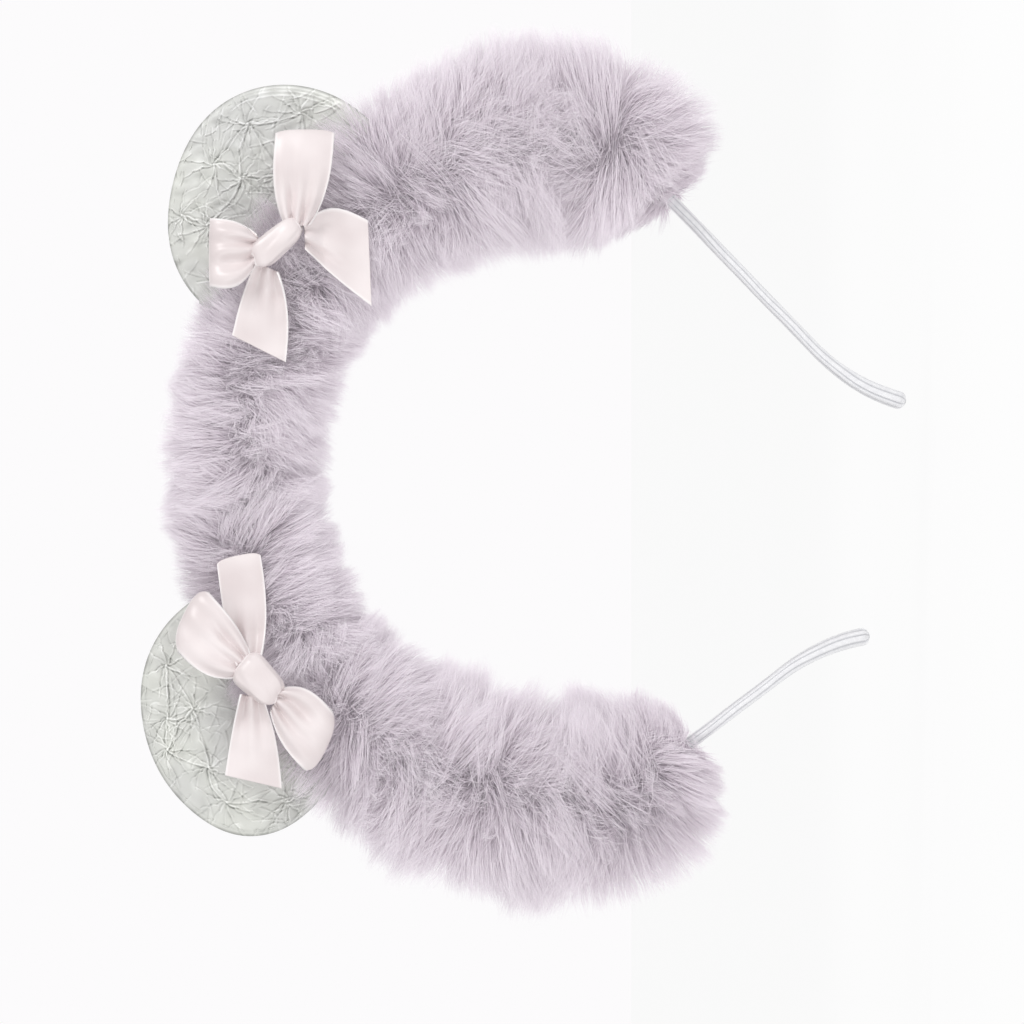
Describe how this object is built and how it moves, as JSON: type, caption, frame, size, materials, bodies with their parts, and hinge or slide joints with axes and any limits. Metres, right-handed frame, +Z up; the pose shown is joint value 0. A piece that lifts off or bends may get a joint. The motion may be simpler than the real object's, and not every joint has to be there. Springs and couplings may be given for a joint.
{
  "type": "animal ears headband",
  "caption": "Furry headband with round padded fabric ears, ribbon bows at their bases and bare satin-covered spring ends that grip behind the ears.",
  "frame": {"origin": "where the crown of the furry sleeve rests on top of the head", "axes": "+Z up as worn, +X towards the wearer's left, -Y to the front"},
  "size_m": [0.1818, 0.0403, 0.17],
  "materials": {
    "lavender_fur": "long-pile faux fur",
    "knit_backing": "knitted backing of the fur",
    "wadding": "soft polyester wadding",
    "ear_fabric": "crinkled satin fabric with a soft shine",
    "pink_satin": "satin ribbon",
    "white_satin": "satin ribbon, tightly wrapped",
    "thread": "sewing thread",
    "spring_steel": "spring steel strip"
  },
  "bodies": {
    "crown": {"band_crown": "spring_steel", "cover_crown": "white_satin", "wadding_crown": "wadding", "backing_crown": "knit_backing", "pile_crown": "lavender_fur", "ear_left_base_stitches": "thread", "ear_right_base_stitches": "thread", "bow_left_tack_thread": "thread", "bow_right_tack_thread": "thread"},
    "arm_left": {"band_arm_left": "spring_steel", "cover_arm_left": "white_satin", "tip_cap_left": "white_satin", "wadding_arm_left": "wadding", "backing_arm_left": "knit_backing", "pile_arm_left": "lavender_fur", "gather_thread_left": "thread"},
    "ear_left": {"ear_left_front_panel": "ear_fabric", "ear_left_back_panel": "ear_fabric", "ear_left_filling": "wadding", "ear_left_edge_stitching": "thread", "ear_left_base_roll": "ear_fabric"},
    "bow_left": {"bow_left_knot": "pink_satin", "bow_left_outer_loop": "pink_satin", "bow_left_upper_loop": "pink_satin", "bow_left_lower_tail": "pink_satin", "bow_left_inner_tail": "pink_satin"},
    "arm_right": {"band_arm_right": "spring_steel", "cover_arm_right": "white_satin", "tip_cap_right": "white_satin", "wadding_arm_right": "wadding", "backing_arm_right": "knit_backing", "pile_arm_right": "lavender_fur", "gather_thread_right": "thread"},
    "ear_right": {"ear_right_front_panel": "ear_fabric", "ear_right_back_panel": "ear_fabric", "ear_right_filling": "wadding", "ear_right_edge_stitching": "thread", "ear_right_base_roll": "ear_fabric"},
    "bow_right": {"bow_right_knot": "pink_satin", "bow_right_upper_loop": "pink_satin", "bow_right_lower_loop": "pink_satin", "bow_right_inner_tail": "pink_satin", "bow_right_outer_tail": "pink_satin"}
  },
  "joints": [
    {"name": "arm_left_flex", "type": "hinge", "parent": "crown", "child": "arm_left", "pos_m": [0.06504, 0, -0.02486], "axis": [0, -1, 0], "range_deg": [-6, 18], "stiffness_Nm_per_rad": 0.5},
    {"name": "arm_right_flex", "type": "hinge", "parent": "crown", "child": "arm_right", "pos_m": [-0.06504, 0, -0.02486], "axis": [0, 1, 0], "range_deg": [-6, 18], "stiffness_Nm_per_rad": 0.5},
    {"name": "ear_left_tilt", "type": "hinge", "parent": "crown", "child": "ear_left", "pos_m": [0.05526, -0.005, 0.00446], "axis": [0.749, 0, -0.6626], "range_deg": [-18, 10], "stiffness_Nm_per_rad": 0.06},
    {"name": "ear_right_tilt", "type": "hinge", "parent": "crown", "child": "ear_right", "pos_m": [-0.04984, -0.005, 0.00887], "axis": [0.8018, 0, 0.5976], "range_deg": [-18, 10], "stiffness_Nm_per_rad": 0.06},
    {"name": "bow_left_swivel", "type": "hinge", "parent": "crown", "child": "bow_left", "pos_m": [0.04843, -0.0189, 0.0058], "axis": [0, -1, 0], "range_deg": [-12, 12], "stiffness_Nm_per_rad": 0.02},
    {"name": "bow_right_swivel", "type": "hinge", "parent": "crown", "child": "bow_right", "pos_m": [-0.04465, -0.0189, 0.00946], "axis": [0, -1, 0], "range_deg": [-12, 12], "stiffness_Nm_per_rad": 0.02}
  ]
}
